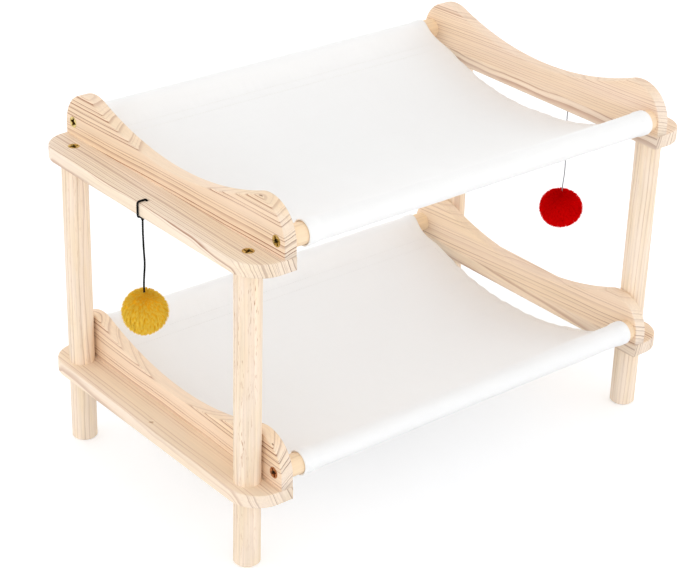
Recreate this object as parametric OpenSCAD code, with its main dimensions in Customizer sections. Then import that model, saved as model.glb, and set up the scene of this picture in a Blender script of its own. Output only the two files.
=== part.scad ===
// Two-tier wooden cat hammock. Two canvas slings hang on round rods between
// scalloped end panels. The panels stand on end boards, the boards stand on
// round legs, and a pom-pom toy hangs on a cord at each end.
// X runs along the rods, Y from front to back and Z up from the floor.

/* [Frame] */
// Clear length between the end panels, which is also the length of the rods
span = 432; // [380:1:500]
// Length of each lower leg, from the floor to the lower boards
lower_leg_l = 73; // [60:1:120]
// Length of each upper leg, between the lower and the upper boards
upper_leg_l = 213; // [190:1:280]
// Diameter of the legs
leg_d = 25; // [20:1:30]
// Distance from a board's end to the axis of a leg
leg_inset = 33; // [24:1:60]
// Clearance between a leg and the end panel beside it
leg_gap = 0.5; // [0.2:0.1:3]
// Eased edge round each foot
foot_chamfer = 1.5; // [0.5:0.5:3]

/* [End boards] */
// Length of each board, from front to back
board_l = 337; // [320:1:400]
// Width of each board
board_w = 47; // [44:1:64]
// Thickness of each board
board_t = 13; // [10:0.5:18]
// Radius of the two outer corners of a board
board_corner_r = 31; // [6:1:36]

/* [End panels] */
// Thickness of each panel
panel_t = 13; // [11:0.5:18]
// Radius of the round lobe at each end of a panel
lobe_r = 35; // [28:1:42]
// Height of a lobe's centre above the board
lobe_rise = 10.5; // [4:0.5:20]
// Height of a panel at the middle of its dip
dip_h = 20.5; // [12:0.5:28]

/* [Rods] */
// Diameter of the rods
rod_d = 20; // [16:1:24]
// Height of a rod's axis above the board
rod_rise = 13.5; // [13:0.5:20]
// Distance from a board's end to a rod's axis
rod_inset = 12; // [12:1:26]

/* [Slings] */
// Bare length of the rods at the left of a sling
sling_left_gap = 14.5; // [3:0.5:30]
// Bare length of the rods at the right of a sling
sling_right_gap = 6.5; // [3:0.5:30]
// Depth of a sling's middle below the rods' axes
sling_sag = 37.5; // [24:0.5:50]
// Thickness of the canvas
cloth_t = 1; // [0.8:0.1:1.6]
// Clearance of a sleeve round its rod
sleeve_play = 0.15; // [0.1:0.05:0.6]
// Width of the doubled seam beside each sleeve
seam_w = 15; // [8:1:24]

/* [Wood screws] */
// Diameter of the screws
screw_d = 5; // [4:0.5:6]
// Diameter of the countersunk heads
screw_head_d = 10; // [9:0.5:12]
// Length of the screws that hold the rods
rod_screw_l = 45; // [35:1:60]
// Length of the screws that hold the upper boards on the legs
leg_screw_l = 45; // [35:1:60]
// Length of the screws that hold the panels on the boards
panel_screw_l = 35; // [28:1:38]
// Distance from the middle of a board to the panel screws
panel_screw_y = 100; // [60:1:110]
// Radial clearance of a screw or stud in its hole
screw_play = 0.1; // [0.05:0.05:0.2]
// Length of a screw's point
screw_tip_l = 6; // [4:0.5:8]
// Width of a slot of the cross recess
recess_w = 1.3; // [1:0.1:1.6]
// Length of a slot of the cross recess
recess_l = 5.4; // [4:0.2:6]
// Depth of the cross recess
recess_depth = 1.7; // [1:0.1:2]

/* [Leg studs] */
// Diameter of the double-ended studs inside the lower joints
stud_d = 6; // [5:0.5:8]
// Length of a stud inside each leg
stud_grip = 30; // [20:1:45]

/* [Toys] */
// Diameter of the cord holes in the boards
toy_hole_d = 4; // [3.6:0.1:6]
// Distance from a board's outer edge to a cord hole's axis
toy_hole_inset = 9; // [8.5:0.5:12]
// Distance from a board's outer edge to a knot's centre
knot_inset = 4; // [3.6:0.1:4.4]
// Place of the left cord holes along the boards
left_toy_y = -3; // [-60:1:60]
// Place of the right cord holes along the boards
right_toy_y = -10; // [-60:1:60]
// Diameter of the left toy's cord
left_cord_d = 2; // [1.6:0.1:2.4]
// Diameter of the right toy's cord
right_cord_d = 1.2; // [1:0.1:1.6]
// Diameter of the left knot
left_knot_d = 5; // [4.4:0.1:5.2]
// Diameter of the right knot
right_knot_d = 3.4; // [3:0.1:4]
// Drop from the left knot's centre to its pom-pom's centre
left_drop = 93; // [90:1:96]
// Drop from the right knot's centre to its pom-pom's centre
right_drop = 130; // [127:1:133]
// Diameter of the left pom-pom
left_pom_d = 43; // [36:1:48]
// Diameter of the right pom-pom
right_pom_d = 42; // [36:1:48]
// Clearance of a cord from the wood that it lies on
cord_gap = 0.1; // [0.1:0.05:0.2]
// Clearance of a knot from what it swings against
knot_gap = 0.3; // [0.3:0.05:0.5]
// Clearance of a cord in its pom-pom's hole
pom_play = 0.2; // [0.1:0.05:0.4]

/* [Hidden] */

$fn = 96;

// Length that a cut runs past the face where it opens
overrun = 1;

// Sides and ends: left and front are negative
left = -1;
right = 1;
front = -1;
back = 1;

// Heights of the boards' undersides and tops
lower_board_z = lower_leg_l;
lower_deck_z = lower_board_z + board_t;
upper_board_z = lower_deck_z + upper_leg_l;
upper_deck_z = upper_board_z + board_t;

// Places along the rods, on the right
panel_out_x = span / 2 + panel_t;
panel_mid_x = span / 2 + panel_t / 2;
board_out_x = span / 2 + board_w;
leg_x = panel_out_x + leg_gap + leg_d / 2;
toy_hole_x = board_out_x - toy_hole_inset;
knot_x = board_out_x - knot_inset;

// Places from the middle to the back
board_end_y = board_l / 2;
leg_y = board_end_y - leg_inset;
rod_y = board_end_y - rod_inset;
lobe_y = board_end_y - lobe_r;

// The dip of a panel is an arc that touches both lobes
dip_step = dip_h - lobe_rise;
dip_r = (pow(lobe_y, 2) + pow(dip_step, 2) - pow(lobe_r, 2)) / (2 * (lobe_r - dip_step));
lobe_share = lobe_r / (lobe_r + dip_r);
touch_y = lobe_y * (1 - lobe_share);
touch_z = lobe_rise + lobe_share * (dip_h + dip_r - lobe_rise);

// A sling is an arc through the axes of its two rods, a little narrower than the clear span
sling_x = sling_left_gap - span / 2;
sling_w = span - sling_left_gap - sling_right_gap;
sag_r = (pow(rod_y, 2) + pow(sling_sag, 2)) / (2 * sling_sag);
sag_angle = asin(rod_y / sag_r);
sleeve_bore_r = rod_d / 2 + sleeve_play;
sleeve_r = sleeve_bore_r + cloth_t;
// A sleeve narrows to a neck, where the cloth is sewn, and the seam ends inside the sleeve
neck_share = 0.85;
neck_l = sqrt(2) * sleeve_r;
seam_angle = (neck_l + seam_w) / sag_r * 180 / PI;
fold_angle = sleeve_bore_r / 2 / sag_r * 180 / PI;

// A countersunk head slopes at 45 degrees
screw_head_h = (screw_head_d - screw_d) / 2;

// A cord turns round an edge of the wood in four steps, and has eight sides
turn_steps = 4;
cord_sides = 8;
bend_share = 0.6;

// Routes of the hanging cords: sideways steps along X and Y, and depth below the knot's centre
left_route = [
    [0, 0, 8], [0, 0, 14], [0.1, -0.1, 20], [0.2, -0.2, 26], [0.4, -0.3, 32], [0.6, -0.5, 38], [0.8, -0.6, 44],
    [0.6, -0.5, 50], [0.3, -0.2, 56], [0, 0, 62], [-0.1, 0.1, 67], [0, 0, 72], [0, 0, 79], [0, 0, 86]
];
right_route = [
    [-0.2, 0.2, 6], [-0.5, 0.4, 14], [-0.8, 0.6, 22], [-0.8, 0.6, 30], [-0.6, 0.5, 38], [-0.3, 0.2, 46],
    [0, 0, 54], [0.3, -0.2, 62], [0.6, -0.4, 70], [0.8, -0.6, 78], [0.9, -0.7, 86], [0.7, -0.5, 94],
    [0.3, -0.2, 101], [0.1, 0, 107], [0, 0, 112], [0, 0, 118], [0, 0, 124]
];

// Colours
pine = [0.90, 0.76, 0.58];
pine_rod = [0.88, 0.72, 0.50];
canvas = [0.95, 0.94, 0.91];
yellow_zinc = [0.80, 0.65, 0.35];
steel = [0.62, 0.63, 0.65];
black_cord = [0.05, 0.05, 0.05];
grey_cord = [0.45, 0.45, 0.47];
ochre_wool = [0.93, 0.65, 0.10];
red_wool = [0.72, 0.04, 0.06];

// Places of the fasteners: each child's head faces out, along its own +Z

module at_rod_screws(deck_z, sides = [left, right], ends = [front, back])
    for (side = sides, end = ends)
        translate([side * panel_out_x, end * rod_y, deck_z + rod_rise])
            rotate([0, side * 90, 0])
                children();

module at_leg_tops(sides = [left, right], ends = [front, back])
    for (side = sides, end = ends)
        translate([side * leg_x, end * leg_y, upper_deck_z])
            children();

module at_leg_studs(sides = [left, right], ends = [front, back])
    for (side = sides, end = ends)
        translate([side * leg_x, end * leg_y, lower_board_z + board_t / 2])
            children();

module at_panel_screws(board_z, sides = [left, right])
    for (side = sides, end = [front, back])
        translate([side * panel_mid_x, end * panel_screw_y, board_z])
            mirror([0, 0, 1])
                children();

// Fasteners and the holes that take them

module screw(length)
    difference() {
        rotate_extrude()
            polygon([
                [0, 0],
                [screw_head_d / 2, 0],
                [screw_d / 2, -screw_head_h],
                [screw_d / 2, screw_tip_l - length],
                [0, -length]
            ]);
        for (turn = [0, 90])
            rotate(turn)
                translate([-recess_l / 2, -recess_w / 2, -recess_depth])
                    cube([recess_l, recess_w, recess_depth + overrun]);
    }

module screw_hole(length)
    rotate_extrude()
        polygon([
            [0, overrun],
            [screw_head_d / 2 + screw_play, overrun],
            [screw_head_d / 2 + screw_play, 0],
            [screw_d / 2 + screw_play, -screw_head_h],
            [screw_d / 2 + screw_play, -length],
            [0, -length]
        ]);

module stud(radius)
    cylinder(h = board_t + 2 * stud_grip, r = radius, center = true);

// Wooden pieces

module on_side(side)
    if (side == left)
        mirror([1, 0, 0])
            children();
    else
        children();

module lower_leg(side, end)
    color(pine)
        difference() {
            translate([side * leg_x, end * leg_y, 0])
                rotate_extrude()
                    polygon([
                        [0, 0],
                        [leg_d / 2 - foot_chamfer, 0],
                        [leg_d / 2, foot_chamfer],
                        [leg_d / 2, lower_leg_l],
                        [0, lower_leg_l]
                    ]);
            at_leg_studs([side], [end])
                stud(stud_d / 2 + screw_play);
        }

module upper_leg(side, end)
    color(pine)
        difference() {
            translate([side * leg_x, end * leg_y, lower_deck_z])
                cylinder(h = upper_leg_l, d = leg_d);
            at_leg_studs([side], [end])
                stud(stud_d / 2 + screw_play);
            at_leg_tops([side], [end])
                screw_hole(leg_screw_l);
        }

module board_outline()
    intersection() {
        translate([span / 2, -board_end_y])
            square([board_w, board_l]);
        union() {
            translate([0, -board_end_y])
                square([board_out_x - board_corner_r, board_l]);
            translate([0, board_corner_r - board_end_y])
                square([board_out_x, board_l - 2 * board_corner_r]);
            for (end = [front, back])
                translate([board_out_x - board_corner_r, end * (board_end_y - board_corner_r)])
                    circle(board_corner_r);
        }
    }

module board(side, toy_y, board_z)
    difference() {
        translate([0, 0, board_z])
            on_side(side)
                linear_extrude(board_t)
                    board_outline();
        translate([side * toy_hole_x, toy_y, board_z - overrun])
            cylinder(h = board_t + 2 * overrun, d = toy_hole_d);
        at_panel_screws(board_z, [side])
            screw_hole(panel_screw_l);
    }

module lower_board(side, toy_y)
    color(pine)
        difference() {
            board(side, toy_y, lower_board_z);
            at_leg_studs([side])
                stud(stud_d / 2 + screw_play);
        }

module upper_board(side, toy_y)
    color(pine)
        difference() {
            board(side, toy_y, upper_board_z);
            at_leg_tops([side])
                screw_hole(leg_screw_l);
        }

module panel_profile()
    difference() {
        union() {
            translate([-board_end_y, 0])
                square([board_l, lobe_rise]);
            translate([-touch_y, 0])
                square([2 * touch_y, touch_z]);
            for (end = [front, back])
                translate([end * lobe_y, lobe_rise])
                    circle(lobe_r);
        }
        translate([0, dip_h + dip_r])
            circle(dip_r);
        translate([-board_l, -2 * lobe_r])
            square([2 * board_l, 2 * lobe_r]);
    }

module panel(side, board_z)
    color(pine)
        difference() {
            on_side(side)
                translate([span / 2, 0, board_z + board_t])
                    rotate([90, 0, 90])
                        linear_extrude(panel_t)
                            panel_profile();
            at_rod_screws(board_z + board_t, [side])
                screw_hole(rod_screw_l);
            at_panel_screws(board_z, [side])
                screw_hole(panel_screw_l);
        }

module rod(end, deck_z)
    color(pine_rod)
        difference() {
            translate([-span / 2, end * rod_y, deck_z + rod_rise])
                rotate([0, 90, 0])
                    cylinder(h = span, d = rod_d);
            at_rod_screws(deck_z, ends = [end])
                screw_hole(rod_screw_l);
        }

// Canvas slings: one arc of cloth, folded round each rod and sewn back on itself

module sleeve_outline() {
    circle(sleeve_r);
    polygon([[-neck_share * sleeve_r, 0], [neck_share * sleeve_r, 0], [0, neck_l]]);
}

module at_sleeves()
    for (end = [front, back])
        translate([end * rod_y, 0])
            rotate(end * (90 + sag_angle))
                children();

module arc_of_cloth(inner_r, outer_r, from_angle, to_angle) {
    reach = 2 * outer_r;
    translate([0, sag_r - sling_sag])
        intersection() {
            difference() {
                circle(outer_r);
                circle(inner_r);
            }
            polygon([
                [0, 0],
                [reach * sin(from_angle), -reach * cos(from_angle)],
                [reach * sin(to_angle), -reach * cos(to_angle)]
            ]);
        }
}

module sling_profile() {
    top_r = sag_r - cloth_t / 2;
    difference() {
        union() {
            arc_of_cloth(top_r, top_r + cloth_t, -sag_angle, sag_angle);
            for (end = [front, back])
                arc_of_cloth(
                    sag_r, top_r + 2 * cloth_t,
                    end * (sag_angle - seam_angle), end * (sag_angle - fold_angle)
                );
            at_sleeves()
                sleeve_outline();
        }
        at_sleeves()
            circle(sleeve_bore_r);
    }
}

module sling(deck_z)
    color(canvas)
        translate([sling_x, 0, deck_z + rod_rise])
            rotate([90, 0, 90])
                linear_extrude(sling_w)
                    sling_profile();

// Toys: a loop through a board's hole and over its edge, a knot, a hanging cord and a pom-pom

function unit(v) = v / norm(v);

function tangent(route, i) = unit(route[min(i + 1, len(route) - 1)] - route[max(i - 1, 0)]);

function cord_ring(centre, along, radius) =
    let (across = unit(cross([0, 1, 0], along)), up = cross(along, across))
    [
        for (k = [0 : cord_sides - 1])
            let (turn = 360 * k / cord_sides)
            centre + radius * (cos(turn) * across + sin(turn) * up)
    ];

module cord_tube(route, radius) {
    rings = len(route);
    last = (rings - 1) * cord_sides;
    points = [for (i = [0 : rings - 1]) each cord_ring(route[i], tangent(route, i), radius)];
    walls = [
        for (i = [0 : rings - 2], k = [0 : cord_sides - 1])
            let (a = i * cord_sides + k, b = i * cord_sides + (k + 1) % cord_sides)
            each [[a, a + cord_sides, b], [b, a + cord_sides, b + cord_sides]]
    ];
    ends = [for (k = [1 : cord_sides - 2]) each [[0, k, k + 1], [last, last + k + 1, last + k]]];
    polyhedron(points, concat(walls, ends));
}

// Centre of a knot, close under the upper board
function knot_place(side, toy_y, knot_d) =
    [side * knot_x, toy_y, upper_board_z - knot_gap - knot_d / 2];

// Quarter turn of a loop, clockwise round a centre in the XZ plane of the right end
function quarter_turn(centre_x, centre_z, bend_r, from_angle) =
    [
        for (i = [0 : turn_steps])
            let (a = from_angle - 90 * i / turn_steps)
            [centre_x + bend_r * cos(a), centre_z + bend_r * sin(a)]
    ];

module toy_loop(side, toy_y, cord_d, knot_d) {
    lift = cord_d / 2 + cord_gap;
    hold = knot_d / 2 + knot_gap;
    bend_r = bend_share * cord_d;
    low_z = upper_board_z - lift;
    high_z = upper_deck_z + lift;
    hole_turn_x = toy_hole_x + bend_r;
    edge_turn_x = board_out_x + lift - bend_r;
    flat_route = concat(
        [[knot_x - hold, low_z]],
        quarter_turn(hole_turn_x, low_z + bend_r, bend_r, 270),
        quarter_turn(hole_turn_x, high_z - bend_r, bend_r, 180),
        quarter_turn(edge_turn_x, high_z - bend_r, bend_r, 90),
        quarter_turn(edge_turn_x, low_z + bend_r, bend_r, 0),
        [[knot_x + hold, low_z]]
    );
    cord_tube([for (p = flat_route) [side * p.x, toy_y, p.y]], cord_d / 2);
}

module toy_knot(side, toy_y, knot_d)
    translate(knot_place(side, toy_y, knot_d))
        sphere(d = knot_d);

module toy_string(side, toy_y, cord_d, knot_d, drop, route) {
    knot = knot_place(side, toy_y, knot_d);
    steps = concat([[0, 0, knot_d / 2 + knot_gap]], route, [[0, 0, drop]]);
    cord_tube([for (s = steps) knot + [s.x, s.y, -s.z]], cord_d / 2);
}

module pompom(side, toy_y, cord_d, knot_d, drop, pom_d)
    translate(knot_place(side, toy_y, knot_d) - [0, 0, drop])
        difference() {
            sphere(d = pom_d);
            cylinder(h = pom_d, d = cord_d + 2 * pom_play);
        }

// Sub-parts

module lower_leg_front_left() lower_leg(left, front);
module lower_leg_front_right() lower_leg(right, front);
module lower_leg_back_left() lower_leg(left, back);
module lower_leg_back_right() lower_leg(right, back);
module upper_leg_front_left() upper_leg(left, front);
module upper_leg_front_right() upper_leg(right, front);
module upper_leg_back_left() upper_leg(left, back);
module upper_leg_back_right() upper_leg(right, back);
module lower_board_left() lower_board(left, left_toy_y);
module lower_board_right() lower_board(right, right_toy_y);
module upper_board_left() upper_board(left, left_toy_y);
module upper_board_right() upper_board(right, right_toy_y);
module lower_panel_left() panel(left, lower_board_z);
module lower_panel_right() panel(right, lower_board_z);
module upper_panel_left() panel(left, upper_board_z);
module upper_panel_right() panel(right, upper_board_z);
module lower_rod_front() rod(front, lower_deck_z);
module lower_rod_back() rod(back, lower_deck_z);
module upper_rod_front() rod(front, upper_deck_z);
module upper_rod_back() rod(back, upper_deck_z);
module lower_sling() sling(lower_deck_z);
module upper_sling() sling(upper_deck_z);
module lower_rod_screws() color(yellow_zinc) at_rod_screws(lower_deck_z) screw(rod_screw_l);
module upper_rod_screws() color(yellow_zinc) at_rod_screws(upper_deck_z) screw(rod_screw_l);
module lower_panel_screws() color(yellow_zinc) at_panel_screws(lower_board_z) screw(panel_screw_l);
module upper_panel_screws() color(yellow_zinc) at_panel_screws(upper_board_z) screw(panel_screw_l);
module leg_top_screws() color(yellow_zinc) at_leg_tops() screw(leg_screw_l);
module leg_studs() color(steel) at_leg_studs() stud(stud_d / 2);
module left_toy_loop() color(black_cord) toy_loop(left, left_toy_y, left_cord_d, left_knot_d);
module left_toy_knot() color(black_cord) toy_knot(left, left_toy_y, left_knot_d);
module left_toy_string()
    color(black_cord)
        toy_string(left, left_toy_y, left_cord_d, left_knot_d, left_drop, left_route);
module left_pompom()
    color(ochre_wool)
        pompom(left, left_toy_y, left_cord_d, left_knot_d, left_drop, left_pom_d);
module right_toy_loop() color(grey_cord) toy_loop(right, right_toy_y, right_cord_d, right_knot_d);
module right_toy_knot() color(grey_cord) toy_knot(right, right_toy_y, right_knot_d);
module right_toy_string()
    color(grey_cord)
        toy_string(right, right_toy_y, right_cord_d, right_knot_d, right_drop, right_route);
module right_pompom()
    color(red_wool)
        pompom(right, right_toy_y, right_cord_d, right_knot_d, right_drop, right_pom_d);

lower_leg_front_left();
lower_leg_front_right();
lower_leg_back_left();
lower_leg_back_right();
upper_leg_front_left();
upper_leg_front_right();
upper_leg_back_left();
upper_leg_back_right();
lower_board_left();
lower_board_right();
upper_board_left();
upper_board_right();
lower_panel_left();
lower_panel_right();
upper_panel_left();
upper_panel_right();
lower_rod_front();
lower_rod_back();
upper_rod_front();
upper_rod_back();
lower_sling();
upper_sling();
lower_rod_screws();
upper_rod_screws();
lower_panel_screws();
upper_panel_screws();
leg_top_screws();
leg_studs();
left_toy_loop();
left_toy_knot();
left_toy_string();
left_pompom();
right_toy_loop();
right_toy_knot();
right_toy_string();
right_pompom();
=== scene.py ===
import math

import bmesh
import bpy
import numpy as np
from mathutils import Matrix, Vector
from mathutils.geometry import tessellate_polygon


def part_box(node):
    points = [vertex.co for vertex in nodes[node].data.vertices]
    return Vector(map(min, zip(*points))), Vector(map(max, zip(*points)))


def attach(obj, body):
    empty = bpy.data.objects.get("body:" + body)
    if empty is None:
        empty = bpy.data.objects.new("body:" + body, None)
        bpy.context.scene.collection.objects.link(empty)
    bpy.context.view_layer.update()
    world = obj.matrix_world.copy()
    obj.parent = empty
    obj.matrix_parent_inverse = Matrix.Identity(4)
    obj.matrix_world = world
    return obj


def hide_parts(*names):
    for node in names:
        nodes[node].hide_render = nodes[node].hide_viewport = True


# Looks of a two-tier wooden cat hammock: pine, canvas slings, cords and pom-pom toys.
# Everything is in metres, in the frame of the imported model.

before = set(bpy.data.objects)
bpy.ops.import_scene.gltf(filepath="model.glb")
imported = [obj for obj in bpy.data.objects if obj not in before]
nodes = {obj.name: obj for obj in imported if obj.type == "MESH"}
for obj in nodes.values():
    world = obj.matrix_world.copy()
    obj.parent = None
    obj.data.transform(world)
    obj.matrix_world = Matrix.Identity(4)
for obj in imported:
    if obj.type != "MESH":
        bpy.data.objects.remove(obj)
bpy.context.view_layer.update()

MM = 0.001
TIERS = ("lower", "upper")
SIDES = {"left": -1, "right": 1}
ENDS = {"front": -1, "back": 1}
WHITE = (1, 1, 1, 1)


# Camera: the photograph's view, in its frame of 679 by 568 pixels

PHOTO_SIZE = (679, 568)
FOCAL_PX = 2004.3
AXIS_PX = (316.5, 299.5)
CAMERA_PLACE = (-1.1364, -1.3369, 1.0502)
CAMERA_TURN_DEG = (62.390, -1.132, -38.282)
SENSOR_MM = 36


def add_object(name, data):
    made = bpy.data.objects.new(name, data)
    bpy.context.scene.collection.objects.link(made)
    return made


def make_camera():
    data = bpy.data.cameras.new("camera")
    data.sensor_width = SENSOR_MM
    data.lens = FOCAL_PX * SENSOR_MM / PHOTO_SIZE[0]
    data.shift_x = (PHOTO_SIZE[0] / 2 - AXIS_PX[0]) / PHOTO_SIZE[0]
    data.shift_y = (AXIS_PX[1] - PHOTO_SIZE[1] / 2) / PHOTO_SIZE[0]
    camera = add_object("camera", data)
    camera.location = CAMERA_PLACE
    camera.rotation_euler = [math.radians(angle) for angle in CAMERA_TURN_DEG]
    bpy.context.scene.camera = camera


make_camera()


# Mesh helpers


def mesh_piece(name, parts, material, body, shades=None):
    """A piece made of (points, faces) parts, smooth, with an optional shade from 0 to 1 at each point."""
    points, faces, start = [], [], 0
    for part_points, part_faces in parts:
        points.append(np.asarray(part_points, float))
        faces += [tuple(corner + start for corner in face) for face in part_faces]
        start += len(part_points)
    mesh = bpy.data.meshes.new(name)
    mesh.from_pydata(np.concatenate(points).tolist(), [], faces)
    mesh.shade_smooth()
    if shades is not None:
        layer = mesh.attributes.new("shade", "FLOAT", "POINT")
        layer.data.foreach_set("value", np.asarray(shades, np.float32))
    mesh.materials.append(material)
    piece = add_object(name, mesh)
    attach(piece, body)
    return piece


def turn_faces_out(mesh):
    cleaner = bmesh.new()
    cleaner.from_mesh(mesh)
    bmesh.ops.recalc_face_normals(cleaner, faces=cleaner.faces)
    cleaner.to_mesh(mesh)
    cleaner.free()


def middle(node):
    low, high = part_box(node)
    return np.array((low + high) / 2)


def unit(vectors):
    return vectors / np.maximum(np.linalg.norm(vectors, axis=-1, keepdims=True), 1e-12)


def smooth_line(corners, step):
    """A smooth line through the corners (Catmull-Rom), with points about step apart."""
    corners = np.asarray(corners, float)
    padded = np.concatenate([[2 * corners[0] - corners[1]], corners, [2 * corners[-1] - corners[-2]]])
    line = []
    for before, start, end, after in zip(padded, padded[1:], padded[2:], padded[3:]):
        count = max(2, math.ceil(np.linalg.norm(end - start) / step))
        t = np.arange(count)[:, None] / count
        line.append(
            0.5 * (
                2 * start
                + (end - before) * t
                + (2 * before - 5 * start + 4 * end - after) * t**2
                + (3 * start - before - 3 * end + after) * t**3
            )
        )
    return np.concatenate(line + [corners[-1:]])


def distances(line):
    """The distance along a line at each of its points."""
    return np.concatenate([[0], np.cumsum(np.linalg.norm(np.diff(line, axis=0), axis=1))])


def values_at(values, along, at):
    """Rows of values that are known at some distances along a line, at other distances."""
    return np.stack([np.interp(at, along, column) for column in values.T], axis=1)


def side_ways(line):
    """Two directions square to a line at each point, turned as little as possible along it."""
    along = unit(np.gradient(line, axis=0))
    start = (0, 1, 0) if abs(along[0][1]) < 0.9 else (1, 0, 0)
    across, last = [], np.array(start, float)
    for direction in along:
        last = unit(last - direction * (last @ direction))
        across.append(last)
    across = np.array(across)
    return across, np.cross(along, across)


def join_rings(*rings):
    """Faces between rings of point numbers, from each ring to the next one."""
    faces = []
    for low, high in zip(rings, rings[1:]):
        for k in range(len(low)):
            after = (k + 1) % len(low)
            faces.append((low[k], low[after], high[after], high[k]))
    return faces


def ring_faces(rings, sides, start=0):
    """Faces between rings whose points follow each other in number."""
    return join_rings(*(range(start + i * sides, start + (i + 1) * sides) for i in range(rings)))


def fill_faces(points, *loops):
    """Faces that fill a flat outline with holes, all given as rings of point numbers."""
    order = [index for loop in loops for index in loop]
    filled = tessellate_polygon([[Vector(points[index]) for index in loop] for loop in loops])
    return [tuple(order[k] for k in face) for face in filled]


def tube_faces(rings, sides):
    """Faces of a tube with closed ends."""
    last = (rings - 1) * sides
    return ring_faces(rings, sides) + [tuple(range(sides))[::-1], tuple(range(last, last + sides))]


def repeat_faces(faces, count):
    """Faces of many shapes alike, whose points are every shape's first one, then every shape's second one."""
    return [tuple(corner * count + n for corner in face) for face in faces for n in range(count)]


def fan_faces(ring, tip):
    """Faces from a ring of points to one more point."""
    return [(ring[k], ring[(k + 1) % len(ring)], tip) for k in range(len(ring))]


def tube(line, radius, sides):
    """(points, faces) of a round tube with closed ends."""
    across, up = side_ways(line)
    turn = np.arange(sides) * math.tau / sides
    ring = np.cos(turn)[None, :, None] * across[:, None] + np.sin(turn)[None, :, None] * up[:, None]
    points = (line[:, None] + radius * ring).reshape(-1, 3)
    return points, tube_faces(len(line), sides)


def lathe(profile, sides):
    """Points and walls of a shape that is round about Z, from its (radius, height) profile."""
    turn = np.arange(sides) * math.tau / sides
    points = [(r * math.cos(a), r * math.sin(a), z) for r, z in profile for a in turn]
    return points, ring_faces(len(profile), sides)


# Materials: nodes are added with short calls

# The output of a Texture Coordinate node that is the place on the object
ON_OBJECT = 3


def srgb(red, green, blue):
    """A colour as it shows on screen, 0 to 255, as Blender's linear colour."""
    shown = (red / 255, green / 255, blue / 255)
    linear = [c / 12.92 if c <= 0.04045 else ((c + 0.055) / 1.055) ** 2.4 for c in shown]
    return (*linear, 1.0)


class Nodes:
    """A node tree whose nodes take numbers, tuples or other nodes' outputs."""

    def __init__(self, tree):
        self.tree = tree

    def put(self, socket, value):
        if isinstance(value, bpy.types.NodeSocket):
            self.tree.links.new(value, socket)
        elif value is not None:
            socket.default_value = value

    def add(self, kind, *inputs, out=0, **settings):
        node = self.tree.nodes.new("ShaderNode" + kind)
        for key, value in settings.items():
            setattr(node, key, value)
        for socket, value in zip(node.inputs, inputs):
            self.put(socket, value)
        return node.outputs[out]

    def math(self, operation, first, second=None, third=None, clamp=False):
        return self.add("Math", first, second, third, operation=operation, use_clamp=clamp)

    def vector(self, operation, first, second=None, out=0):
        return self.add("VectorMath", first, second, operation=operation, out=out)

    def noise(self, place, scale, seed=0.0, detail=2.0, roughness=0.5):
        """Noise from 0 to 1, about 0.5 on average; scale may differ along the three axes."""
        stretched = self.vector("MULTIPLY", place, scale)
        return self.add("TexNoise", stretched, seed, 1.0, detail, roughness, noise_dimensions="4D")

    def step(self, value, low, high, start=0.0, end=1.0):
        return self.add("MapRange", value, low, high, start, end, interpolation_type="SMOOTHSTEP")

    def spread(self, value, low, high):
        """A value from 0 to 1 turned into one from low to high."""
        return self.add("MapRange", value, 0.0, 1.0, low, high)

    def mix(self, share, first, second, blend="MIX"):
        node = self.tree.nodes.new("ShaderNodeMix")
        node.data_type = "RGBA"
        node.blend_type = blend
        self.put(node.inputs[0], share)
        self.put(node.inputs[6], first)
        self.put(node.inputs[7], second)
        return node.outputs[2]

    def shaded(self, colour, shade):
        """A colour made lighter or darker by a number."""
        return self.mix(1.0, colour, self.add("CombineXYZ", shade, shade, shade), "MULTIPLY")

    def place_mm(self):
        """The place on the object, in millimetres."""
        return self.vector("MULTIPLY", self.add("TexCoord", out=ON_OBJECT), (1 / MM, 1 / MM, 1 / MM))

    def seen_directly(self):
        """1 where the camera, a mirror or glass sees a surface, and 0 where it only lights others."""
        path = self.tree.nodes.new("ShaderNodeLightPath").outputs
        shiny = self.math("MAXIMUM", path["Is Glossy Ray"], path["Is Transmission Ray"])
        return self.math("MAXIMUM", path["Is Camera Ray"], shiny)


class Finish(Nodes):
    """A material on the Principled shader."""

    def __init__(self, name, roughness=0.6, metallic=0.0, specular=0.3, sheen=0.0):
        self.material = bpy.data.materials.new(name)
        self.material.use_nodes = True
        super().__init__(self.material.node_tree)
        self.shader = self.tree.nodes["Principled BSDF"]
        self.shader.inputs["Roughness"].default_value = roughness
        self.shader.inputs["Metallic"].default_value = metallic
        self.shader.inputs["Specular IOR Level"].default_value = specular
        self.shader.inputs["Sheen Weight"].default_value = sheen

    def finish(self, colour=None, roughness=None, height=None, bump_mm=0.1, bump_strength=0.5):
        self.put(self.shader.inputs["Base Color"], colour)
        self.put(self.shader.inputs["Roughness"], roughness)
        if height is not None:
            bump = self.tree.nodes.new("ShaderNodeBump")
            bump.inputs["Strength"].default_value = bump_strength
            bump.inputs["Distance"].default_value = bump_mm * MM
            self.put(bump.inputs["Height"], height)
            self.put(self.shader.inputs["Normal"], bump.outputs[0])
        return self.material


# Turn that lays a log's own Z axis along each grain direction
GRAIN_TURN_DEG = {"X": (0, 90, 0), "Y": (-90, 0, 0), "Z": (0, 0, 0)}
GRAIN_AXIS = {"X": (1, 0, 0), "Y": (0, 1, 0), "Z": (0, 0, 1)}
# A knot's dark spot is longer along the grain
GRAIN_STRETCH = {"X": (0.4, 1, 1), "Y": (1, 0.4, 1), "Z": (1, 1, 0.4)}
EARLY_WOOD = srgb(252, 242, 228)
LATE_WOOD = srgb(158, 100, 62)
END_EARLY = srgb(249, 239, 228)
END_LATE = srgb(150, 114, 92)
DARK_WOOD = srgb(128, 84, 54)
PORE_WOOD = srgb(184, 124, 70)
BROAD_TONES = (srgb(255, 247, 241), srgb(253, 243, 228))
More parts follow.
